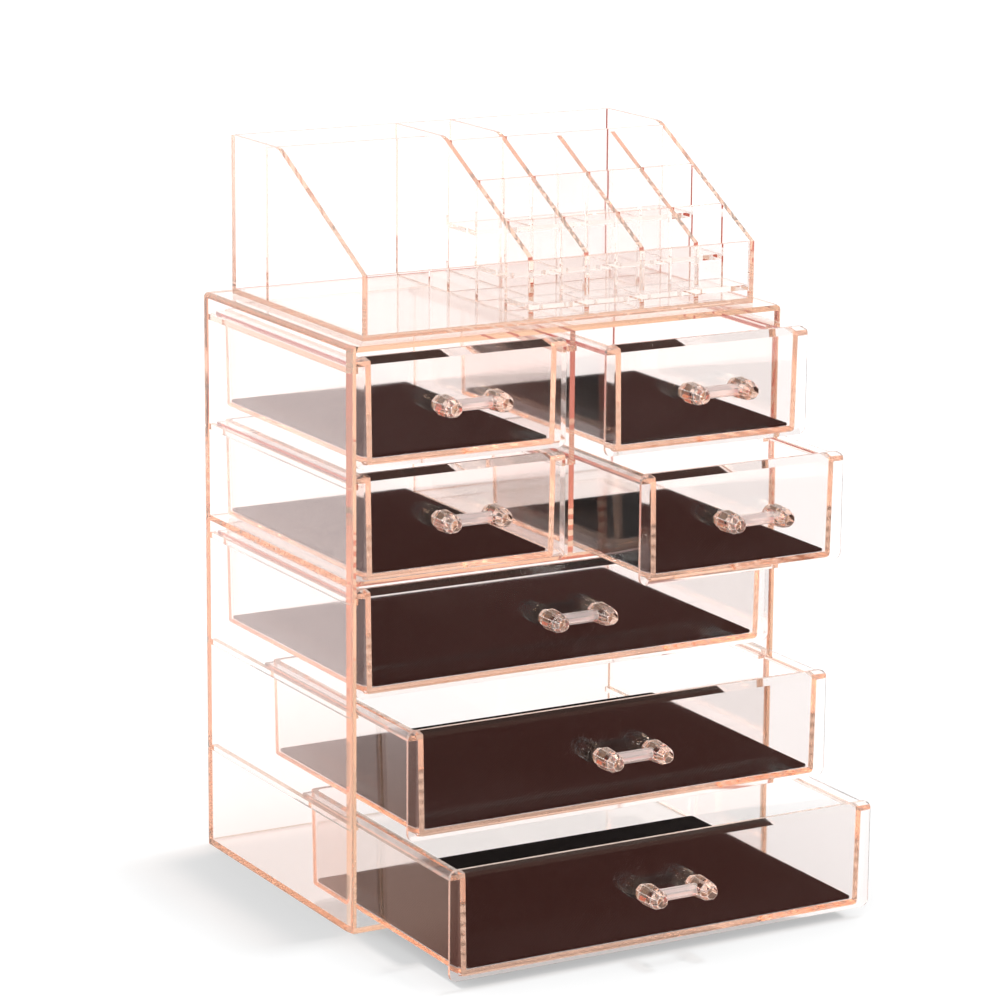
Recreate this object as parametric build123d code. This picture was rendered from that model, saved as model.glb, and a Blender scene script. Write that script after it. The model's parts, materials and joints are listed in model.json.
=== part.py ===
# Makeup organizer: a tall clear case with seven drawers on rails, and a
# compartment tray that stands on its top. Millimetres, +Z up. The origin is
# the centre of the case's bottom face, the drawers pull out along -Y.
import math
import os

from build123d import *

# Case
case_width = 235.0
case_depth = 156.5
panel = 2.8
top_edge_radius = 2.4
rows = 5
small_rows = 2

# Drawer fronts
front_height = 53.2
row_gap = 1.7
top_gap = 2.5
side_clearance = 0.4
divider_clearance = 1.0
plate_thickness = 3.0
plate_corner_radius = 4.0
bevel_width = 3.6
bevel_depth = 1.3
bevel_corner_radius = 0.8

# Tubs
lip_width = 5.2
lip_thickness = 2.2
rim_drop = 2.6
tub_lift = 2.3
tub_wall = 2.8
tub_floor = 2.5
tub_draft = 1.0
tub_back_gap = 3.7
tub_corner_radius = 4.0
tub_edge_radius = 2.0

# Rails and middle shelf
rail_width = 2.8
rail_thickness = 2.8
running_clearance = 0.3
rail_setback = 0.4
shelf_clearance = 0.4

# Liners
liner_thickness = 1.6
liner_clearance = 0.4
liner_corner_radius = 2.0

# Handles
post_spacing = 27.0
handle_height = 28.2
handle_sides = 8
foot_across = 8.0
belly_across = 10.0
waist_across = 6.4
knob_across = 9.4
tip_across = 5.0
foot_length = 1.0
belly_start = 3.2
belly_end = 5.6
waist_at = 9.4
knob_start = 12.4
knob_end = 14.6
post_length = 18.0
bar_across = 5.6

# How far each drawer stands open in the stored pose
open_1_right = 28.5
open_2_right = 61.5
open_4 = 52.0
open_5 = 92.5

# Tray
tray_width = 213.0
tray_depth = 138.0
tray_height = 78.0
tray_wall = 2.5
tray_front_height = 30.5
slope_end = 87.0
slope_radius = 14.0
slot_width = 28.0
columns = 4
front_slot_depth = 22.3
slot_depth = 26.0
left_wall_place = 99.75
front_step = 9.0
middle_step = 20.5
rear_step = 36.7

# Heights and planes that follow from the sizes above
row_pitch = front_height + row_gap
case_height = 2 * panel + rows * row_pitch + top_gap
front_y = -case_depth / 2
back_y = case_depth / 2
side_inner = case_width / 2 - panel
top_z = case_height - panel
back_inner = back_y - panel
plate_edge = side_inner - side_clearance
plate_inner_edge = panel / 2 + divider_clearance
plate_back = front_y + plate_thickness
tub_back = back_inner - tub_back_gap
rail_front = plate_back + rail_setback


def block(x0, x1, y0, y1, z0, z1):
    middle = Pos((x0 + x1) / 2, (y0 + y1) / 2, (z0 + z1) / 2)
    return middle * Box(x1 - x0, y1 - y0, z1 - z0)


def front_bottom(row):
    # Rows are counted from the top, the last row stands over the bottom panel.
    return panel + row_gap + (rows - row) * row_pitch


def rim_z(row):
    return front_bottom(row) + front_height - rim_drop


def rail_top(row):
    return rim_z(row) - lip_thickness - running_clearance


def side_panel(sign):
    outer = sign * case_width / 2
    inner = sign * side_inner
    sheet = block(min(outer, inner), max(outer, inner), front_y, back_y, 0, case_height)
    top_edges = sheet.edges().filter_by(Axis.Y).group_by(Axis.Z)[-1]
    outer_edge = top_edges.sort_by(Axis.X)[-1 if sign > 0 else 0]
    return fillet(outer_edge, top_edge_radius)


def rail(wall_x, direction, row):
    # A ledge on a wall face, it reaches into the cell by the rail's width.
    reach = wall_x + direction * rail_width
    low = rail_top(row) - rail_thickness
    return block(min(wall_x, reach), max(wall_x, reach), rail_front, back_inner, low, rail_top(row))


def front_plate(x0, x1, z0):
    width = x1 - x0
    centre = ((x0 + x1) / 2, z0 + front_height / 2)
    rear = Plane(origin=(centre[0], plate_back, centre[1]), x_dir=(1, 0, 0), z_dir=(0, -1, 0))
    straight = plate_thickness - bevel_depth
    outline = RectangleRounded(width, front_height, plate_corner_radius)
    face = RectangleRounded(width - 2 * bevel_width, front_height - 2 * bevel_width, bevel_corner_radius)
    body = extrude(rear * outline, amount=straight)
    bevel = loft([rear.offset(straight) * outline, rear.offset(plate_thickness) * face], ruled=True)
    return body + bevel


def tub(x0, x1, row):
    # Lips reach the front plate's edges, the tub's walls stand inside them.
    centre = (x0 + x1) / 2
    outer_width = x1 - x0 - 2 * lip_width
    spare = 4 * tub_corner_radius
    length = tub_back - plate_back + spare
    middle_y = tub_back - length / 2
    low = front_bottom(row) + tub_lift
    height = rim_z(row) - low
    rim = Plane(origin=(centre, middle_y, rim_z(row)), z_dir=(0, 0, -1))
    outer_outline = RectangleRounded(outer_width, length, tub_corner_radius)
    inner_radius = tub_corner_radius - tub_wall / 2
    inner_outline = RectangleRounded(outer_width - 2 * tub_wall, length - 2 * tub_wall, inner_radius)
    outer = extrude(rim * outer_outline, amount=height, taper=tub_draft)
    outer = fillet(outer.edges().group_by(Axis.Z)[0], tub_edge_radius)
    inner = extrude(rim * inner_outline, amount=height - tub_floor, taper=tub_draft)
    lip_low = rim_z(row) - lip_thickness
    root = outer_width / 2 - tub_wall / 2
    lips = [
        block(x0, centre - root, plate_back, tub_back - tub_corner_radius, lip_low, rim_z(row)),
        block(centre + root, x1, plate_back, tub_back - tub_corner_radius, lip_low, rim_z(row)),
    ]
    shell = outer - inner
    front_waste = block(x0 - 1, x1 + 1, plate_back - 2 * spare, plate_back, low - 1, rim_z(row) + 1)
    return shell + lips - front_waste


def liner(x0, x1, row):
    floor_top = front_bottom(row) + tub_lift + tub_floor
    drop = rim_z(row) - floor_top
    draw_in = drop * math.tan(math.radians(tub_draft))
    width = x1 - x0 - 2 * (lip_width + tub_wall + draw_in + liner_clearance)
    rear = tub_back - tub_wall - draw_in - liner_clearance
    near = plate_back + liner_clearance
    place = Pos((x0 + x1) / 2, (near + rear) / 2, floor_top)
    return extrude(place * RectangleRounded(width, rear - near, liner_corner_radius), amount=liner_thickness)


def cut_ring(place, across):
    # An eight-sided outline with flats at top and bottom.
    radius = across / 2 / math.cos(math.pi / handle_sides)
    return place * RegularPolygon(radius, handle_sides, rotation=180 / handle_sides)


def cut_post(x, z):
    # Cut facets run from outline to outline along the post.
    stations = [
        (0, foot_across),
        (foot_length, foot_across),
        (belly_start, belly_across),
        (belly_end, belly_across),
        (waist_at, waist_across),
        (knob_start, knob_across),
        (knob_end, knob_across),
        (post_length, tip_across),
    ]
    base = Plane(origin=(x, front_y, z), x_dir=(1, 0, 0), z_dir=(0, -1, 0))
    outlines = [cut_ring(base.offset(out), across) for out, across in stations]
    pieces = [loft([a, b], ruled=True) for a, b in zip(outlines, outlines[1:])]
    post = pieces[0]
    for piece in pieces[1:]:
        post = post + piece
    return post


def handle(x0, x1, row):
    centre = (x0 + x1) / 2
    z = front_bottom(row) + handle_height
    left = cut_post(centre - post_spacing / 2, z)
    right = cut_post(centre + post_spacing / 2, z)
    start = Plane(
        origin=(centre - post_spacing / 2, front_y - waist_at, z), x_dir=(0, 1, 0), z_dir=(1, 0, 0)
    )
    bar = extrude(cut_ring(start, bar_across), amount=post_spacing)
    return left + bar + right


def slope_top(y):
    # Height of the tray's sloping edges above the tray's foot, from the front.
    rise = (tray_height - tray_front_height) / slope_end
    return min(tray_height, tray_front_height + rise * y)


# Tray planes, y measured back from the tray's front face
tray_front_y = -tray_depth / 2
slots_front = tray_wall
wall_1 = slots_front + front_slot_depth
wall_2 = wall_1 + tray_wall + slot_depth
wall_3 = wall_2 + tray_wall + slot_depth
tray_right_inner = tray_width / 2 - tray_wall
tray_back_inner = tray_depth - tray_wall


def divider_left(number):
    # Left face of divider 1 to 4, counted from the left.
    remaining = columns + 1 - number
    return tray_right_inner - remaining * (slot_width + tray_wall)


def sloped_sheet(x0, y0, y1):
    # An upright sheet with a flat rear top and a slope down to the front.
    corner = slope_end
    points = [(y0, tray_wall), (y1, tray_wall), (y1, slope_top(y1)), (y0, slope_top(y0))]
    if y1 > corner:
        points.insert(3, (corner, tray_height))
    placed = [(tray_front_y + y, case_height + h) for y, h in points]
    side = Plane(origin=(x0, 0, 0), x_dir=(0, 1, 0), z_dir=(1, 0, 0))
    outline = make_face(side * Polyline(placed, close=True))
    if y1 > corner:
        crest = outline.vertices().sort_by_distance((x0, tray_front_y + corner, case_height + tray_height))
        outline = fillet(crest[0], slope_radius)
    return extrude(outline, amount=tray_wall)


def tray_block(x0, x1, y0, y1, h0, h1):
    return block(x0, x1, tray_front_y + y0, tray_front_y + y1, case_height + h0, case_height + h1)


def slot_spans():
    # Clear width between dividers, column by column.
    starts = [divider_left(n) + tray_wall for n in range(1, columns + 1)]
    return [(x, x + slot_width) for x in starts]


def cross_wall(y, spans):
    top = slope_top(y + tray_wall)
    return [tray_block(x0, x1, y, y + tray_wall, tray_wall, top) for x0, x1 in spans]


def step(y0, y1, top):
    return [tray_block(x0, x1, y0, y1, top - tray_wall, top) for x0, x1 in slot_spans()]


nodes = {}

# Case
nodes["left_side"] = side_panel(-1)
nodes["right_side"] = side_panel(1)
nodes["top_panel"] = block(-side_inner, side_inner, front_y, back_y, top_z, case_height)
nodes["bottom_panel"] = block(-side_inner, side_inner, front_y, back_y, 0, panel)
nodes["back_panel"] = block(-side_inner, side_inner, back_inner, back_y, panel, top_z)
shelf_top = front_bottom(small_rows) + tub_lift - shelf_clearance
nodes["middle_shelf"] = block(
    -side_inner, side_inner, rail_front, back_inner, shelf_top - panel, shelf_top
)
nodes["centre_divider"] = block(-panel / 2, panel / 2, front_y, back_inner, shelf_top, top_z)
for row in range(1, rows + 1):
    ledges = [rail(-side_inner, 1, row), rail(side_inner, -1, row)]
    if row <= small_rows:
        ledges += [rail(-panel / 2, -1, row), rail(panel / 2, 1, row)]
    nodes[f"rails_row_{row}"] = Compound(ledges)

# Drawers
left_cell = (-plate_edge, -plate_inner_edge)
right_cell = (plate_inner_edge, plate_edge)
full_cell = (-plate_edge, plate_edge)
drawers = {
    "drawer_1_left": (left_cell, 1, 0),
    "drawer_1_right": (right_cell, 1, open_1_right),
    "drawer_2_left": (left_cell, 2, 0),
    "drawer_2_right": (right_cell, 2, open_2_right),
    "drawer_3": (full_cell, 3, 0),
    "drawer_4": (full_cell, 4, open_4),
    "drawer_5": (full_cell, 5, open_5),
}
for name, (cell, row, opened) in drawers.items():
    x0, x1 = cell
    out = Pos(0, -opened, 0)
    nodes[f"{name}_tub"] = out * tub(x0, x1, row)
    nodes[f"{name}_front"] = out * front_plate(x0, x1, front_bottom(row))
    nodes[f"{name}_liner"] = out * liner(x0, x1, row)
    nodes[f"{name}_handle"] = out * handle(x0, x1, row)

# Tray
tray_left = -tray_width / 2
tray_left_inner = tray_left + tray_wall
nodes["tray_floor"] = tray_block(tray_left, -tray_left, 0, tray_depth, 0, tray_wall)
nodes["tray_left"] = sloped_sheet(tray_left, 0, tray_depth)
nodes["tray_right"] = sloped_sheet(tray_right_inner, 0, tray_depth)
nodes["tray_back"] = tray_block(
    tray_left_inner, tray_right_inner, tray_back_inner, tray_depth, tray_wall, tray_height
)
nodes["tray_front"] = tray_block(
    tray_left_inner, tray_right_inner, 0, tray_wall, tray_wall, tray_front_height
)
for number in range(1, columns + 1):
    # The first two dividers run on to the back wall.
    end = tray_back_inner if number <= 2 else wall_3
    nodes[f"tray_divider_{number}"] = sloped_sheet(divider_left(number), slots_front, end)
left_span = (tray_left_inner, divider_left(1))
nodes["tray_left_cross_wall"] = tray_block(
    *left_span, left_wall_place, left_wall_place + tray_wall, tray_wall, slope_top(wall_3 + tray_wall)
)
second_left = divider_left(2)
rear_spans = [slot_spans()[0], (second_left + tray_wall, tray_right_inner)]
nodes["tray_rear_cross_wall"] = Compound(cross_wall(wall_3, rear_spans))
nodes["tray_middle_cross_wall"] = Compound(cross_wall(wall_2, slot_spans()))
nodes["tray_front_cross_wall"] = Compound(cross_wall(wall_1, slot_spans()))
nodes["tray_step_front"] = Compound(step(slots_front, wall_1, front_step))
nodes["tray_step_middle"] = Compound(step(wall_1 + tray_wall, wall_2, middle_step))
nodes["tray_step_rear"] = Compound(step(wall_2 + tray_wall, wall_3, rear_step))

os.makedirs("parts", exist_ok=True)
for name, shape in nodes.items():
    export_step(shape, f"parts/{name}.step")
    print(name, round(shape.volume / 1000, 2), "cm3")
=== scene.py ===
import json
import math

import bpy
from mathutils import Matrix, Vector


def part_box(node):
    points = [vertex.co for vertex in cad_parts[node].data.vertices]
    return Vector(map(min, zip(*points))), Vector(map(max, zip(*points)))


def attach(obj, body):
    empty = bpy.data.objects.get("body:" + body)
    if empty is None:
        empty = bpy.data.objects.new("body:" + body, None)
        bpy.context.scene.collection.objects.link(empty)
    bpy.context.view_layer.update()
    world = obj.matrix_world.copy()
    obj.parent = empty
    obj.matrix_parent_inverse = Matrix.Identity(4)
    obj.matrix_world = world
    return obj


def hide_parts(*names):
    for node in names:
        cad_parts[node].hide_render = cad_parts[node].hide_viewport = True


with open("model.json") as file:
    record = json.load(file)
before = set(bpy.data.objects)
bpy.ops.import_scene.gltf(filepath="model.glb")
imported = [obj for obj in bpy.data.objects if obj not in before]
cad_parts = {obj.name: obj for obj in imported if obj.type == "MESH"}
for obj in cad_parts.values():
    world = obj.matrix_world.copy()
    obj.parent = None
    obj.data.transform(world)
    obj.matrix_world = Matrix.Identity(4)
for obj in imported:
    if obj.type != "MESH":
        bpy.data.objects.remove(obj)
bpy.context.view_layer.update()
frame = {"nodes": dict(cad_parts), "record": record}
print("frame loaded")

scene = bpy.context.scene
mm = 0.001
# how far apart two places may be and still count as one
slack = 0.02 * mm
weldWithin = 0.002 * mm


# small helpers for working as by hand

def deselectAll():
    if bpy.context.object and bpy.context.object.mode != "OBJECT":
        bpy.ops.object.mode_set(mode="OBJECT")
    bpy.ops.object.select_all(action="DESELECT")


def makeActive(piece):
    deselectAll()
    piece.select_set(True)
    bpy.context.view_layer.objects.active = piece
    return piece


def settle(piece):
    # place, turn and scale go into the mesh
    makeActive(piece)
    bpy.ops.object.transform_apply(location=True, rotation=True, scale=True)
    return piece


def finishModifiers(piece):
    makeActive(piece)
    for modifier in list(piece.modifiers):
        bpy.ops.object.modifier_apply(modifier=modifier.name)
    return piece


def weldAndOrient(piece):
    makeActive(piece)
    bpy.ops.object.mode_set(mode="EDIT")
    bpy.ops.mesh.select_all(action="SELECT")
    bpy.ops.mesh.remove_doubles(threshold=weldWithin)
    bpy.ops.mesh.normals_make_consistent(inside=False)
    bpy.ops.object.mode_set(mode="OBJECT")
    return piece


def selectPoints(piece, wanted):
    # vertex select in object mode, then on into edit mode
    makeActive(piece)
    bpy.ops.object.mode_set(mode="EDIT")
    bpy.ops.mesh.select_mode(type="VERT")
    bpy.ops.mesh.select_all(action="DESELECT")
    bpy.ops.object.mode_set(mode="OBJECT")
    for point in piece.data.vertices:
        point.select = wanted(point.co)
    bpy.ops.object.mode_set(mode="EDIT")


def raiseFoot(piece, height):
    # the lowest plane comes up a hair, so that it doesn't share a plane with what carries it
    lowest = min(point.co.z for point in piece.data.vertices)
    selectPoints(piece, lambda place: place.z < lowest + slack)
    bpy.ops.transform.translate(value=(0, 0, height))
    bpy.ops.object.mode_set(mode="OBJECT")


def shadeByShape(piece, degrees):
    # curved stretches smooth, flat faces truly flat
    makeActive(piece)
    bpy.ops.object.shade_smooth_by_angle(angle=math.radians(degrees))
    flatFirst = piece.modifiers.new("flatFacesFirst", "WEIGHTED_NORMAL")
    flatFirst.keep_sharp = True
    flatFirst.weight = 100
    return finishModifiers(piece)


# camera, at the photograph's angle

camera = {
    "target": (-0.0161, -0.03825, 0.19154),
    "azimuth": -29.42,
    "elevation": 13.33,
    "distance": 1.97514,
    "roll": 0.44,
    "lens": 147.6,
    "sensor": 36,
    "farthest": 60,
}


def addCamera():
    azimuth, elevation = math.radians(camera["azimuth"]), math.radians(camera["elevation"])
    back = Vector((math.sin(azimuth) * math.cos(elevation), -math.cos(azimuth) * math.cos(elevation),
                   math.sin(elevation)))
    target = Vector(camera["target"])
    bpy.ops.object.camera_add(location=target + back * camera["distance"])
    view = bpy.context.object
    view.name = "photoCamera"
    turn = back.to_track_quat("Z", "Y").to_matrix() @ Matrix.Rotation(math.radians(camera["roll"]), 3, "Z")
    view.rotation_euler = turn.to_euler()
    view.data.sensor_width = camera["sensor"]
    view.data.lens = camera["lens"]
    view.data.clip_end = camera["farthest"]
    scene.camera = view


deselectAll()
addCamera()
print("camera placed")


# shader groups shared by the materials

def newGroup(name, inputs, outputs):
    group = bpy.data.node_groups.new(name, "ShaderNodeTree")
    for label, default in inputs:
        socket = group.interface.new_socket(label, in_out="INPUT", socket_type="NodeSocketFloat")
        socket.default_value = default
    for label in outputs:
        group.interface.new_socket(label, in_out="OUTPUT", socket_type="NodeSocketFloat")
    return group, group.nodes.new("NodeGroupInput"), group.nodes.new("NodeGroupOutput")


def node(tree, kind, links=None, **settings):
    # a node with its settings, and links from input name to a socket or a value
    made = tree.nodes.new(kind)
    for key, value in settings.items():
        setattr(made, key, value)
    for label, source in (links or {}).items():
        if isinstance(source, bpy.types.NodeSocket):
            tree.links.new(source, made.inputs[label])
        else:
            made.inputs[label].default_value = source
    return made


polishSettings = {
    "scratchScale": 900.0,
    "scratchStretch": (1.0, 0.08, 1.0),
    "scratchReach": (0.66, 0.78),
    "scratchDepth": 0.35,
    "smearScale": 14.0,
    "smearReach": (0.52, 0.75),
    "waveScale": 22.0,
}


def buildPolishGroup():
    # wiped smears, fine scratches and the slow waviness of polished acrylic
    look = polishSettings
    inputs = [("Smooth", 0.0), ("Rough", 0.05), ("Wave Height", 0.3)]
    group, start, end = newGroup("acrylicPolish", inputs, ["Roughness", "Height", "Cloud"])
    place = node(group, "ShaderNodeTexCoord").outputs["Object"]
    stretched = node(group, "ShaderNodeMapping", {"Vector": place, "Scale": look["scratchStretch"]})
    scratches = node(group, "ShaderNodeTexNoise", {
        "Vector": stretched.outputs[0], "Scale": look["scratchScale"], "Detail": 2.0})
    fine = node(group, "ShaderNodeMapRange", {
        "Value": scratches.outputs[0], "From Min": look["scratchReach"][0],
        "From Max": look["scratchReach"][1], "To Max": look["scratchDepth"]})
    smears = node(group, "ShaderNodeTexNoise", {
        "Vector": place, "Scale": look["smearScale"], "Detail": 4.0, "Roughness": 0.6})
    wiped = node(group, "ShaderNodeMapRange", {
        "Value": smears.outputs[0], "From Min": look["smearReach"][0], "From Max": look["smearReach"][1]})
    worn = node(group, "ShaderNodeMath", {0: fine.outputs[0], 1: wiped.outputs[0]}, operation="MAXIMUM")
    rough = node(group, "ShaderNodeMapRange", {
        "Value": worn.outputs[0], "To Min": start.outputs["Smooth"], "To Max": start.outputs["Rough"]})
    waves = node(group, "ShaderNodeTexNoise", {"Vector": place, "Scale": look["waveScale"], "Detail": 1.0})
    high = node(group, "ShaderNodeMath", {0: waves.outputs[0], 1: start.outputs["Wave Height"]},
                operation="MULTIPLY")
    group.links.new(rough.outputs[0], end.inputs["Roughness"])
    group.links.new(high.outputs[0], end.inputs["Height"])
    group.links.new(smears.outputs[0], end.inputs["Cloud"])
    return group


polishGroup = buildPolishGroup()


# clear pink acrylic: bends light, takes up green and blue on long ways through, lets lamps through

clearLook = {
    "colour": (0.990, 0.974, 0.970, 1),
    "cloudLow": 0.99,
    "cloudReach": (0.3, 0.7),
    "bend": 1.49,
    "through": 1.0,
    "shade": (0.98, 0.972, 0.97, 1),
    "inside": (0.93, 0.40, 0.05, 1),
    "density": 4.8,
    "smooth": 0.0,
    "rough": 0.05,
    "waves": 0.3,
    "sawnScale": 240.0,
    "sawnHeight": 0.0,
    "bumpStrength": 0.25,
    "bumpDepth": 0.6 * mm,
    "longestWay": 62,
}

# sawn edges and broken corners: the same acrylic, but a little dull, so that they gather light. The warm
# colours that the edges are given are a painted glow of light carried along the sheet, and on the bevels a
# painted highlight
edgeLook = {"through": 0.74, "smooth": 0.03, "rough": 0.10, "sawnHeight": 0.12}


def clearAcrylic(name, **changes):
    look = dict(clearLook, **changes)
    material = bpy.data.materials.new(name)
    material.use_nodes = True
    tree = material.node_tree
    tree.nodes.clear()
    out = node(tree, "ShaderNodeOutputMaterial")
    polish = node(tree, "ShaderNodeGroup", node_tree=polishGroup)
    polish.inputs["Smooth"].default_value = look["smooth"]
    polish.inputs["Rough"].default_value = look["rough"]
    polish.inputs["Wave Height"].default_value = look["waves"]
    cloud = node(tree, "ShaderNodeMapRange", {
        "Value": polish.outputs["Cloud"], "From Min": look["cloudReach"][0],
        "From Max": look["cloudReach"][1], "To Min": look["cloudLow"]})
    tinted = node(tree, "ShaderNodeMix", {0: 1.0, 6: look["colour"], 7: cloud.outputs[0]},
                  data_type="RGBA", blend_type="MULTIPLY")
    height = polish.outputs["Height"]
    if look["sawnHeight"]:
        place = node(tree, "ShaderNodeTexCoord").outputs["Object"]
        ripple = node(tree, "ShaderNodeTexNoise", {
            "Vector": place, "Scale": look["sawnScale"], "Detail": 1.0})
        height = node(tree, "ShaderNodeMath", {0: ripple.outputs[0], 1: look["sawnHeight"], 2: height},
                      operation="MULTIPLY_ADD").outputs[0]
    bump = node(tree, "ShaderNodeBump", {
        "Height": height, "Strength": look["bumpStrength"], "Distance": look["bumpDepth"]})
    body = node(tree, "ShaderNodeBsdfPrincipled", {
        "Base Color": tinted.outputs[2], "Roughness": polish.outputs["Roughness"],
        "Normal": bump.outputs[0], "IOR": look["bend"], "Transmission Weight": look["through"]})
    rays = node(tree, "ShaderNodeLightPath")
    # light that has gone round inside for long comes out where it is, instead of ending black
    trapped = node(tree, "ShaderNodeMath", {0: rays.outputs["Ray Depth"], 1: float(look["longestWay"])},
                   operation="GREATER_THAN")
    leaving = node(tree, "ShaderNodeBsdfTransparent", {"Color": (1, 1, 1, 1)})
    seen = node(tree, "ShaderNodeMixShader", {
        0: trapped.outputs[0], 1: body.outputs[0], 2: leaving.outputs[0]})
    passing = node(tree, "ShaderNodeBsdfTransparent", {"Color": look["shade"]})
    either = node(tree, "ShaderNodeMixShader", {
        0: rays.outputs["Is Shadow Ray"], 1: seen.outputs[0], 2: passing.outputs[0]})
    tree.links.new(either.outputs[0], out.inputs["Surface"])
    inside = node(tree, "ShaderNodeVolumeAbsorption", {"Color": look["inside"], "Density": look["density"]})
    tree.links.new(inside.outputs[0], out.inputs["Volume"])
    return material


def facesAndEdges(faceName, edgeName, face, edge):
    return [clearAcrylic(faceName, **face), clearAcrylic(edgeName, **dict(edgeLook, **edge))]


# places in each body's list of materials, where only the handles have the last two
faceMaterial, paintedLightEdgeMaterial, paintedGlowFootMaterial, barMaterial = range(4)
# each body's second colour is painted light: a peach glow on the sheet edges and a highlight on the bevels
materials = {
    "case": facesAndEdges("clearCase", "sawnCasePaintedLight", {}, {"colour": (1.0, 0.80, 0.64, 1)}),
    "tray": facesAndEdges(
        "clearTray", "sawnTrayPaintedLight", {"colour": (0.996, 0.988, 0.986, 1), "density": 3.2},
        {"colour": (0.985, 0.73, 0.60, 1), "density": 3.2}),
    "drawer": facesAndEdges(
        "clearDrawer", "dullDrawerPaintedLight",
        {"colour": (0.988, 0.969, 0.964, 1), "waves": 0.4, "smooth": 0.04, "rough": 0.07},
        {"colour": (0.995, 0.87, 0.80, 1)}),
    # the handle's second colour lies only on the facets' bevels, as painted highlights
    "handle": facesAndEdges(
        "clearHandle", "paintedHighlightHandle",
        {"colour": (1.0, 0.99, 0.985, 1), "waves": 0.0, "density": 22.0, "rough": 0.01},
        {"colour": (1.0, 0.95, 0.92, 1), "density": 10.0}),
}
materials["handle"] += [
    # the foot ring's orange is a painted glow of light coloured on its long way through the post
    clearAcrylic("paintedGlowFoot", **dict(edgeLook, colour=(1.0, 0.72, 0.52, 1), density=16.0)),
    clearAcrylic("paleBar", **dict(edgeLook, colour=(1.0, 0.84, 0.80, 1), through=0.66)),
]
print("clear acrylic built")


# bonded clear sheets, joined into one clear body each

shellSettings = {
    "bevel": {"clear_case": 0.6 * mm, "clear_tray": 0.55 * mm, "clear_drawer": 0.35 * mm},
    "bevelSegments": 3,
    "bevelAngle": 40,
    "smoothAngle": 17,
    "flatAngle": 0.5,
    "broadLimit": 0.9,
    "footGap": 0.12 * mm,
    "lipSide": 0.1 * mm,
    "planedLong": 4.8 * mm,
    "planedDeep": 1.2 * mm,
    "outerRing": 2.5 * mm,
}


def copyOfNode(name):
    source = frame["nodes"][name]
    piece = source.copy()
    piece.data = source.data.copy()
    piece.parent = None
    piece.matrix_world = Matrix.Identity(4)
    piece.hide_render = piece.hide_viewport = False
    scene.collection.objects.link(piece)
    piece.modifiers.clear()
    for key in list(piece.keys()):
        if key.startswith("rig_"):
            del piece[key]
    makeActive(piece)
    if piece.data.has_custom_normals:
        bpy.ops.mesh.customdata_custom_splitnormals_clear()
    return weldAndOrient(piece)


def islandsOf(mesh):
    # faces grouped by the solid that they belong to
    facesAt = {}
    for face in mesh.polygons:
        for corner in face.vertices:
            facesAt.setdefault(corner, []).append(face.index)
    seen, islands = set(), []
    for first in range(len(mesh.polygons)):
        if first in seen:
            continue
        seen.add(first)
        island, todo = [], [first]
        while todo:
            index = todo.pop()
            island.append(mesh.polygons[index])
            for corner in mesh.polygons[index].vertices:
                for other in facesAt[corner]:
                    if other not in seen:
                        seen.add(other)
                        todo.append(other)
        islands.append(island)
    return islands


def markSheetEdges(piece):
    # the narrow faces round a sheet get the edges' material, with its painted glow
    limit = shellSettings["broadLimit"]
    for island in islandsOf(piece.data):
        areas = [sum(face.area for face in island if abs(face.normal[axis]) > limit) for axis in range(3)]
        broad = areas.index(max(areas))
        for face in island:
            face.material_index = faceMaterial if abs(face.normal[broad]) > limit else paintedLightEdgeMaterial


def markLipEdges(piece):
    # so do the outer sides of a tub's two lips, painted glow and all
    left = min(point.co.x for point in piece.data.vertices)
    right = max(point.co.x for point in piece.data.vertices)
    for face in piece.data.polygons:
        outermost = min(face.center.x - left, right - face.center.x) < shellSettings["lipSide"]
        face.material_index = paintedLightEdgeMaterial if outermost else faceMaterial


def joinSolids(pieces):
    # one clean closed body from several, exact where they meet
    first = pieces[0]
    others = bpy.data.collections.new(first.name + "Others")
    scene.collection.children.link(others)
    for piece in pieces[1:]:
        others.objects.link(piece)
    union = first.modifiers.new("union", "BOOLEAN")
    union.operation = "UNION"
    union.solver = "EXACT"
    union.operand_type = "COLLECTION"
    union.collection = others
    finishModifiers(first)
    for piece in pieces[1:]:
        bpy.data.objects.remove(piece)
    bpy.data.collections.remove(others)
    makeActive(first)
    bpy.ops.object.mode_set(mode="EDIT")
    bpy.ops.mesh.select_all(action="SELECT")
    bpy.ops.mesh.remove_doubles(threshold=weldWithin / 2)
    bpy.ops.mesh.dissolve_limited(
        angle_limit=math.radians(shellSettings["flatAngle"]), delimit={"MATERIAL"})
    bpy.ops.object.mode_set(mode="OBJECT")
    return first


def planeFrontCorners(piece):
    # the upright front corners of the case are planed off at a shallow angle on the outside
    look = shellSettings
    front = min(point.co.y for point in piece.data.vertices)
    side = max(point.co.x for point in piece.data.vertices) - look["outerRing"]
    makeActive(piece)
    bpy.ops.object.mode_set(mode="EDIT")
    bpy.ops.mesh.select_all(action="SELECT")
    bpy.ops.mesh.bisect(plane_co=(0, front + look["planedLong"], 0), plane_no=(0, 1, 0))
    for way in (-1, 1):
        selectPoints(piece, lambda p: p.y < front + slack and p.x * way > side)
        bpy.ops.transform.translate(value=(-way * look["planedDeep"], 0, 0))
    selectPoints(piece, lambda p: abs(p.y - front - look["planedLong"]) < slack and abs(p.x) > side)
    bpy.ops.mesh.mark_sharp()
    bpy.ops.object.mode_set(mode="OBJECT")
    # the planed strips take the edge material, and so its painted peach glow
    for face in piece.data.polygons:
        if face.center.y < front + look["planedLong"] and abs(face.center.x) > side:
            face.material_index = paintedLightEdgeMaterial


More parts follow.
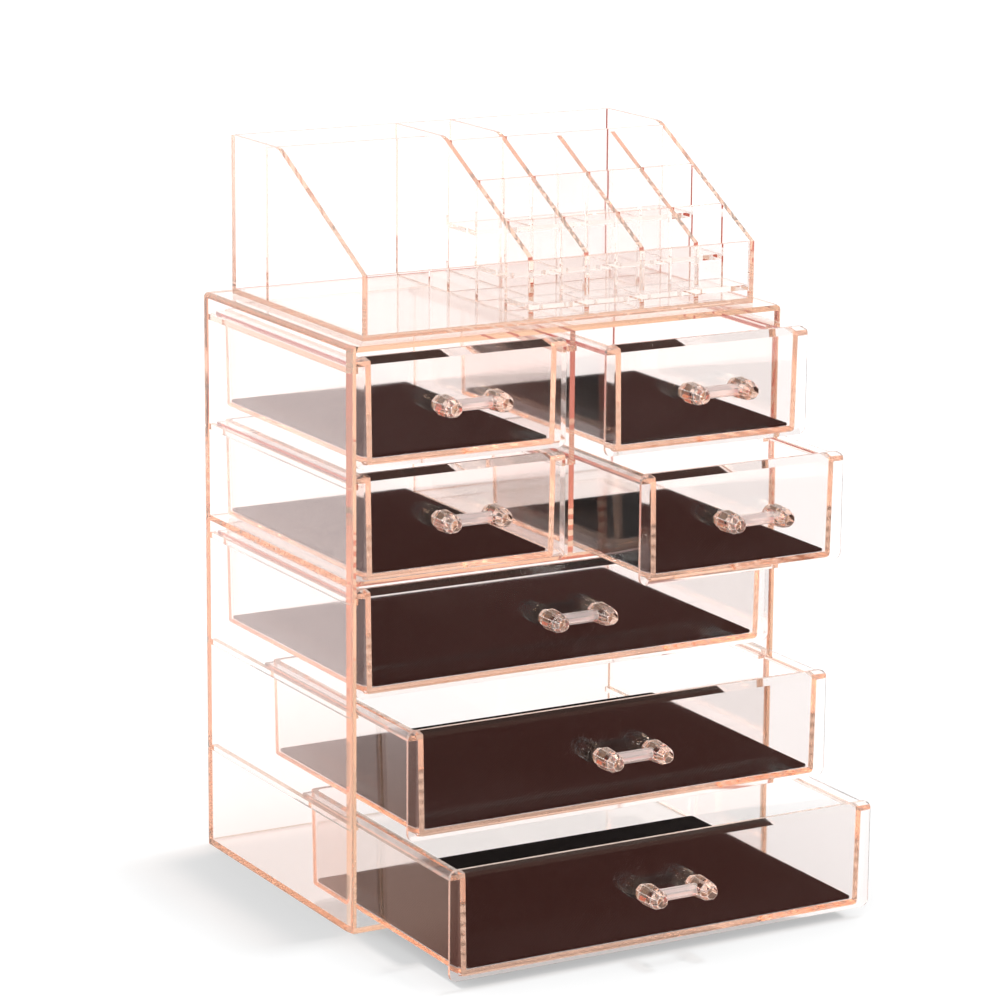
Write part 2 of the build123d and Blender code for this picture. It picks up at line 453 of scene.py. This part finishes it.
def makeShell(name, nodes, body, slot, faceAndEdge):
    copies = []
    for nodeName in nodes:
        piece = copyOfNode(nodeName)
        piece.data.materials.clear()
        for material in faceAndEdge:
            piece.data.materials.append(material)
        if nodeName.endswith("_tub"):
            markLipEdges(piece)
        else:
            markSheetEdges(piece)
        copies.append(piece)
    shell = joinSolids(copies)
    shell.name = shell.data.name = name
    if body == "case":
        planeFrontCorners(shell)
    rounding = shell.modifiers.new("rounding", "BEVEL")
    rounding.width = shellSettings["bevel"][slot]
    rounding.segments = shellSettings["bevelSegments"]
    rounding.limit_method = "ANGLE"
    rounding.angle_limit = math.radians(shellSettings["bevelAngle"])
    # the rounded bevels take the edge material too: a painted highlight along each edge
    rounding.material = paintedLightEdgeMaterial
    finishModifiers(shell)
    raiseFoot(shell, shellSettings["footGap"])
    shadeByShape(shell, shellSettings["smoothAngle"])
    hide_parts(*nodes)
    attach(shell, body)
    print("joined", name, "faces", len(shell.data.polygons))
    return shell


bodies = frame["record"]["behaviour"]["bodies"]
drawerNames = [name for name in bodies if name.startswith("drawer")]
makeShell("caseShell", bodies["case"], "case", "clear_case", materials["case"])
makeShell("trayShell", bodies["tray"], "tray", "clear_tray", materials["tray"])
for drawer in drawerNames:
    makeShell(drawer + "_shell", [drawer + "_tub", drawer + "_front"], drawer, "clear_drawer",
              materials["drawer"])


# cut handles: two posts like long crystals, and a bar between them

handleSettings = {
    "sides": 8,
    "spacing": 27 * mm,
    "plateGap": 0.04 * mm,
    "rings": [  # way out from the plate and width across corners
        (0.0, 8.0), (4.2, 10.6), (14.6, 9.4), (17.9, 6.2)],
    "barOut": 9.0 * mm,
    "barAcross": 5.6 * mm,
    "bevel": 0.26 * mm,
    "bevelAngle": 8,
}


def useMaterials(piece, index):
    for material in materials["handle"]:
        piece.data.materials.append(material)
    for face in piece.data.polygons:
        face.material_index = index


def addPost(centre, front):
    look = handleSettings
    rings = [(out * mm, across * mm / 2) for out, across in look["rings"]]
    sideTurn = math.pi / look["sides"]
    place = Vector((centre.x, front - look["plateGap"], centre.z))
    deselectAll()
    bpy.ops.mesh.primitive_circle_add(
        vertices=look["sides"], radius=rings[0][1], fill_type="NGON", location=place,
        rotation=(math.pi / 2, sideTurn, 0))
    post = settle(bpy.context.object)
    bpy.ops.object.mode_set(mode="EDIT")
    bpy.ops.mesh.select_all(action="SELECT")
    for (out, radius), (nextOut, nextRadius) in zip(rings, rings[1:]):
        middle = place - Vector((0, nextOut, 0))
        bpy.ops.mesh.extrude_region_move(TRANSFORM_OT_translate={"value": (0, out - nextOut, 0)})
        growth = nextRadius / radius
        bpy.ops.transform.resize(value=(growth, 1, growth), center_override=middle)
    bpy.ops.mesh.select_all(action="SELECT")
    bpy.ops.mesh.normals_make_consistent(inside=False)
    bpy.ops.object.mode_set(mode="OBJECT")
    useMaterials(post, faceMaterial)
    for face in post.data.polygons:
        # only the ring of faces round the foot, which has its middle between the first two rings, takes the
        # painted orange glow
        if rings[0][0] < place.y - face.center.y - slack < rings[1][0]:
            face.material_index = paintedGlowFootMaterial
    return post


def addBar(left, right, front):
    look = handleSettings
    deselectAll()
    middle = (left + right) / 2
    bpy.ops.mesh.primitive_cylinder_add(
        vertices=look["sides"], radius=look["barAcross"] / 2 / math.cos(math.pi / look["sides"]),
        depth=(right - left).length, location=(middle.x, front - look["barOut"], middle.z),
        rotation=(0, math.pi / 2, 0))
    bar = bpy.context.object
    bpy.ops.object.mode_set(mode="EDIT")
    bpy.ops.mesh.select_all(action="SELECT")
    bpy.ops.transform.rotate(value=math.pi / look["sides"], orient_axis="X",
                             center_override=(middle.x, front - look["barOut"], middle.z))
    bpy.ops.object.mode_set(mode="OBJECT")
    useMaterials(bar, barMaterial)
    return settle(bar)


def addHandle(drawer):
    low, high = (Vector(corner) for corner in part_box(drawer + "_handle"))
    centre = (low + high) / 2
    half = Vector((handleSettings["spacing"] / 2, 0, 0))
    handle = joinSolids([addPost(centre - half, high.y), addPost(centre + half, high.y),
                         addBar(centre - half, centre + half, high.y)])
    handle.name = handle.data.name = drawer + "_cutHandle"
    softEdges = handle.modifiers.new("softEdges", "BEVEL")
    softEdges.width = handleSettings["bevel"]
    softEdges.segments = 1
    softEdges.limit_method = "ANGLE"
    softEdges.angle_limit = math.radians(handleSettings["bevelAngle"])
    # the bevels take the pale edge material: painted highlights outlining every facet
    softEdges.material = paintedLightEdgeMaterial
    finishModifiers(handle)
    bpy.ops.object.shade_flat()
    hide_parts(drawer + "_handle")
    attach(handle, drawer)
    return handle


for drawer in drawerNames:
    addHandle(drawer)
print("handles cut")


# black mesh liners, laid on the drawers' floors

linerSettings = {
    "cell": 6 * mm,
    "thickness": 1.15 * mm,
    "swell": 0.14 * mm,
    "cornerRadius": 2 * mm,
    "roundEdge": 0.3 * mm,
    "footGap": 0.12 * mm,
    "cornerSegments": 4,
    "edgeAngle": 50,
    "smoothAngle": 40,
    # how quick the waves are across and along, and their share of the swell
    "slowWaves": (47, 61, 0.38),
    "quickWaves": (131, 97, 0.12),
    # how far the waves shift with a pad's width and height in the case
    "phase": (40, 90),
    "meshPitch": 1.25 * mm,
    "thread": (0.009, 0.0068, 0.0064, 1),
    # the hole colour is painted shade in the mesh's openings
    "hole": (0.0045, 0.0034, 0.0032, 1),
    "wanderScale": 60.0,
    "wander": (0.6 * mm, 0.6 * mm, 0.0),
    "lintScale": 1400.0,
    "lintHeight": 0.25,
    "fadeScale": 30.0,
    "threadReach": (-0.3, 0.9),
    "fuzzReach": (0.15, 0.4),
    "fuzzLift": (0.7, 1.35),
    "bumpStrength": 0.4,
    "bumpDepth": 0.2 * mm,
    "holeRough": 0.98,
    "threadRough": 0.85,
    "shine": 0.08,
}


def meshCloth():
    # a fine net: threads cross on the slant, and the holes between them are painted darker, as painted shade
    # down in the openings
    material = bpy.data.materials.new("blackMeshCloth")
    material.use_nodes = True
    tree = material.node_tree
    shader = tree.nodes["Principled BSDF"]
    look = linerSettings
    place = node(tree, "ShaderNodeTexCoord").outputs["Object"]
    wander = node(tree, "ShaderNodeTexNoise", {"Vector": place, "Scale": look["wanderScale"], "Detail": 2.0})
    pulled = node(tree, "ShaderNodeVectorMath", {0: wander.outputs["Color"], 1: look["wander"], 2: place},
                  operation="MULTIPLY_ADD")
    turned = node(tree, "ShaderNodeMapping", {
        "Vector": pulled.outputs[0], "Rotation": (0, 0, math.radians(45))})
    parts = node(tree, "ShaderNodeSeparateXYZ", {"Vector": turned.outputs[0]})
    rows = []
    for axis in ("X", "Y"):
        along = node(tree, "ShaderNodeMath", {
            0: parts.outputs[axis], 1: 2 * math.pi / look["meshPitch"]}, operation="MULTIPLY")
        rows.append(node(tree, "ShaderNodeMath", {0: along.outputs[0]}, operation="COSINE"))
    higher = node(tree, "ShaderNodeMath", {
        0: rows[0].outputs[0], 1: rows[1].outputs[0]}, operation="MAXIMUM")
    threads = node(tree, "ShaderNodeMapRange", {
        "Value": higher.outputs[0], "From Min": look["threadReach"][0], "From Max": look["threadReach"][1]})
    lint = node(tree, "ShaderNodeTexNoise", {"Vector": place, "Scale": look["lintScale"], "Detail": 3.0})
    faded = node(tree, "ShaderNodeTexNoise", {"Vector": place, "Scale": look["fadeScale"], "Detail": 3.0})
    fuzz = node(tree, "ShaderNodeMath", {0: lint.outputs[0], 1: faded.outputs[0]}, operation="MULTIPLY")
    lift = node(tree, "ShaderNodeMapRange", {
        "Value": fuzz.outputs[0], "From Min": look["fuzzReach"][0], "From Max": look["fuzzReach"][1],
        "To Min": look["fuzzLift"][0], "To Max": look["fuzzLift"][1]})
    # painted shade: the holes between the threads are darker
    colour = node(tree, "ShaderNodeMix", {0: threads.outputs[0], 6: look["hole"], 7: look["thread"]},
                  data_type="RGBA")
    dusty = node(tree, "ShaderNodeVectorMath", {
        0: colour.outputs[2], 1: lift.outputs[0]}, operation="MULTIPLY")
    height = node(tree, "ShaderNodeMath", {0: lint.outputs[0], 1: look["lintHeight"]}, operation="MULTIPLY")
    relief = node(tree, "ShaderNodeMath", {0: threads.outputs[0], 1: height.outputs[0]}, operation="ADD")
    bump = node(tree, "ShaderNodeBump", {
        "Height": relief.outputs[0], "Strength": look["bumpStrength"], "Distance": look["bumpDepth"]})
    rough = node(tree, "ShaderNodeMapRange", {
        "Value": threads.outputs[0], "To Min": look["holeRough"], "To Max": look["threadRough"]})
    tree.links.new(dusty.outputs[0], shader.inputs["Base Color"])
    tree.links.new(rough.outputs[0], shader.inputs["Roughness"])
    tree.links.new(bump.outputs[0], shader.inputs["Normal"])
    shader.inputs["Specular IOR Level"].default_value = look["shine"]
    return material


clothMaterial = meshCloth()


def addLiner(drawer):
    look = linerSettings
    low, high = (Vector(corner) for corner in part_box(drawer + "_liner"))
    width, depth = high.x - low.x, high.y - low.y
    middle = (low + high) / 2
    deselectAll()
    bpy.ops.mesh.primitive_grid_add(
        x_subdivisions=round(width / look["cell"]), y_subdivisions=round(depth / look["cell"]), size=1,
        location=(middle.x, middle.y, low.z + look["footGap"] + look["swell"] / 2))
    pad = bpy.context.object
    pad.scale = (width, depth, 1)
    settle(pad)
    selectPoints(pad, lambda p: abs(abs(p.x - middle.x) - width / 2) < slack
                 and abs(abs(p.y - middle.y) - depth / 2) < slack)
    bpy.ops.mesh.bevel(offset=look["cornerRadius"], affect="VERTICES", segments=look["cornerSegments"])
    bpy.ops.object.mode_set(mode="OBJECT")
    # cut from a roll, so it lies a little uneven, each pad in its own way
    phase = width * look["phase"][0] + low.z * look["phase"][1]
    slowX, slowY, slowShare = look["slowWaves"]
    quickX, quickY, quickShare = look["quickWaves"]
    for point in pad.data.vertices:
        x, y = point.co.x - middle.x, point.co.y - middle.y
        slow = math.sin(x * slowX + phase) * math.cos(y * slowY - phase)
        quick = math.sin(x * quickX + y * quickY + phase)
        point.co.z += look["swell"] * (slowShare * slow + quickShare * quick)
    solid = pad.modifiers.new("thickness", "SOLIDIFY")
    solid.thickness = look["thickness"]
    solid.offset = 1
    edge = pad.modifiers.new("roundEdge", "BEVEL")
    edge.width = look["roundEdge"]
    edge.segments = 2
    edge.limit_method = "ANGLE"
    edge.angle_limit = math.radians(look["edgeAngle"])
    finishModifiers(pad)
    weldAndOrient(pad)
    bpy.ops.object.shade_smooth_by_angle(angle=math.radians(look["smoothAngle"]))
    pad.name = pad.data.name = drawer + "_meshLiner"
    pad.data.materials.append(clothMaterial)
    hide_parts(drawer + "_liner")
    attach(pad, drawer)
    return pad


for drawer in drawerNames:
    addLiner(drawer)
print("liners laid")


# white floor that keeps the shadow, apart from painted light that lifts it under the case and behind the
# clear sheets, a soft sun, a fill from the front and a white studio round them

studio = {
    "floorSize": 30,
    "floorDrop": 0.1 * mm,
    "paper": (0.72, 0.72, 0.72, 1),
    "paperLift": 0.22,
    # painted light: the paper seen through the clear sheets is lighter still, which lifts the shadow seen
    # there
    "paintedLightInGlass": 0.14,
    # how far from the middle the painted light on the paper under the case reaches, and how strong it is
    "paintedLightReach": (115 * mm, 76 * mm),
    "paintedLightStrength": 0.20,
    "sky": 0.66,
    "lampPlace": (0.3, -0.1, 1.5),
    "sun": 1.05,
    "sunAngle": 6,
    "sunFrom": (56, 4, 283),
    "fill": 2.7,
    "fillAngle": 24,
    "fillFrom": (-75, -85, 45),
    # how far back on the floor, and the painted reflection that the first reflections see there
    "floorMirror": [(-0.19, (0.42, 0.12, 0.09, 1)), (-0.08, (1.0, 0.62, 0.50, 1)),
                    (0.05, (1.05, 0.70, 0.60, 1)), (0.30, (1.60, 1.36, 1.33, 1))],
    # the same painted reflection for how far back a direction into the sky points
    "skyMirror": [(-0.19, (0.85, 0.50, 0.40, 1)), (-0.08, (1.30, 1.26, 1.23, 1))],
    "mirrorReach": (-0.5, 0.5),
    # how often light may bend or be thrown back inside the clear sheets, and pass plain openings
    "bounces": 70,
    "openings": 64,
}


def firstMirrors(tree, rays):
    # rays that the object has thrown back once
    return node(tree, "ShaderNodeMath", {0: rays.outputs["Glossy Depth"], 1: 1.0, 2: 0.5},
                operation="COMPARE")


def straightViews(tree, rays):
    # the camera's own rays, and those that metal and glass send on
    return node(tree, "ShaderNodeMath", {0: rays.outputs["Is Camera Ray"], 1: rays.outputs["Is Glossy Ray"]},
                operation="MAXIMUM")


def fallOff(tree, place, stops):
    # painted reflection: first reflections see white behind and beside the object, and a dim warm brown in
    # front of it
    back = node(tree, "ShaderNodeSeparateXYZ", {"Vector": place}).outputs["Y"]
    low, high = studio["mirrorReach"]
    along = node(tree, "ShaderNodeMapRange", {"Value": back, "From Min": low, "From Max": high})
    ramp = node(tree, "ShaderNodeValToRGB", {"Fac": along.outputs[0]})
    steps = ramp.color_ramp.elements
    for step, (reach, colour) in zip((steps[0], steps[1]), (stops[0], stops[-1])):
        step.position = (reach - low) / (high - low)
        step.color = colour
    for reach, colour in stops[1:-1]:
        steps.new((reach - low) / (high - low)).color = colour
    return ramp.outputs["Color"]


def paperWithPaintedLight(tree):
    # painted light: the paper right under the case is made lighter, which lifts the shadow there
    place = node(tree, "ShaderNodeTexCoord").outputs["Object"]
    parts = node(tree, "ShaderNodeSeparateXYZ", {"Vector": place})
    across, deep = studio["paintedLightReach"]
    sideways = node(tree, "ShaderNodeMath", {0: parts.outputs["X"], 1: 0.0, 2: across}, operation="COMPARE")
    inwards = node(tree, "ShaderNodeMath", {0: parts.outputs["Y"], 1: 0.0, 2: deep}, operation="COMPARE")
    both = node(tree, "ShaderNodeMath", {0: sideways.outputs[0], 1: inwards.outputs[0]},
                operation="MULTIPLY")
    return node(tree, "ShaderNodeMath", {
        0: both.outputs[0], 1: studio["paintedLightStrength"], 2: studio["paperLift"]}, operation="MULTIPLY_ADD")


def addFloor():
    deselectAll()
    bpy.ops.mesh.primitive_plane_add(size=studio["floorSize"], location=(0, 0, -studio["floorDrop"]))
    floor = bpy.context.object
    floor.name = "whiteFloor"
    material = bpy.data.materials.new("whitePaper")
    material.use_nodes = True
    tree = material.node_tree
    tree.nodes.clear()
    rays = node(tree, "ShaderNodeLightPath")
    # the paper's even lift, with painted light under the case
    plain = node(tree, "ShaderNodeMath", {
        0: straightViews(tree, rays).outputs[0], 1: paperWithPaintedLight(tree).outputs[0]}, operation="MULTIPLY")
    # painted light on the paper seen through the clear sheets
    lifted = node(tree, "ShaderNodeMath", {
        0: rays.outputs["Is Transmission Ray"], 1: studio["paintedLightInGlass"], 2: plain.outputs[0]},
        operation="MULTIPLY_ADD")
    paper = node(tree, "ShaderNodeBsdfPrincipled", {
        "Base Color": studio["paper"], "Roughness": 0.9, "Specular IOR Level": 0.0,
        "Emission Color": (1, 1, 1, 1), "Emission Strength": lifted.outputs[0]})
    paintedReflection = node(tree, "ShaderNodeEmission", {
        "Color": fallOff(tree, node(tree, "ShaderNodeTexCoord").outputs["Object"], studio["floorMirror"])})
    either = node(tree, "ShaderNodeMixShader", {
        0: firstMirrors(tree, rays).outputs[0], 1: paper.outputs[0], 2: paintedReflection.outputs[0]})
    out = node(tree, "ShaderNodeOutputMaterial")
    tree.links.new(either.outputs[0], out.inputs["Surface"])
    floor.data.materials.append(material)


def addSun(name, strength, angle, comesFrom, castsShadow):
    deselectAll()
    bpy.ops.object.light_add(type="SUN", location=studio["lampPlace"])
    sun = bpy.context.object
    sun.name = name
    sun.data.energy = strength
    sun.data.angle = math.radians(angle)
    sun.data.use_shadow = castsShadow
    sun.rotation_euler = Vector(comesFrom).to_track_quat("Z", "Y").to_euler()


def buildWorld():
    world = bpy.data.worlds.new("studio")
    scene.world = world
    world.use_nodes = True
    tree = world.node_tree
    tree.nodes.clear()
    rays = node(tree, "ShaderNodeLightPath")
    strength = node(tree, "ShaderNodeMapRange", {
        "Value": straightViews(tree, rays).outputs[0], "To Min": studio["sky"], "To Max": 1.0})
    around = node(tree, "ShaderNodeTexCoord").outputs["Generated"]
    # first reflections see the painted reflection colours
    colour = node(tree, "ShaderNodeMix", {0: firstMirrors(tree, rays).outputs[0], 6: (1, 1, 1, 1),
                                          7: fallOff(tree, around, studio["skyMirror"])}, data_type="RGBA")
    sky = node(tree, "ShaderNodeBackground", {"Color": colour.outputs[2], "Strength": strength.outputs[0]})
    node(tree, "ShaderNodeOutputWorld", {"Surface": sky.outputs[0]})


addFloor()
addSun("softSun", studio["sun"], studio["sunAngle"], studio["sunFrom"], True)
addSun("frontFill", studio["fill"], studio["fillAngle"], studio["fillFrom"], False)
buildWorld()
scene.view_settings.view_transform = "Standard"
scene.cycles.max_bounces = studio["bounces"]
scene.cycles.transmission_bounces = studio["bounces"]
scene.cycles.glossy_bounces = studio["bounces"]
scene.cycles.transparent_max_bounces = studio["openings"]
scene.cycles.caustics_refractive = False
scene.cycles.caustics_reflective = False
print("studio lit")
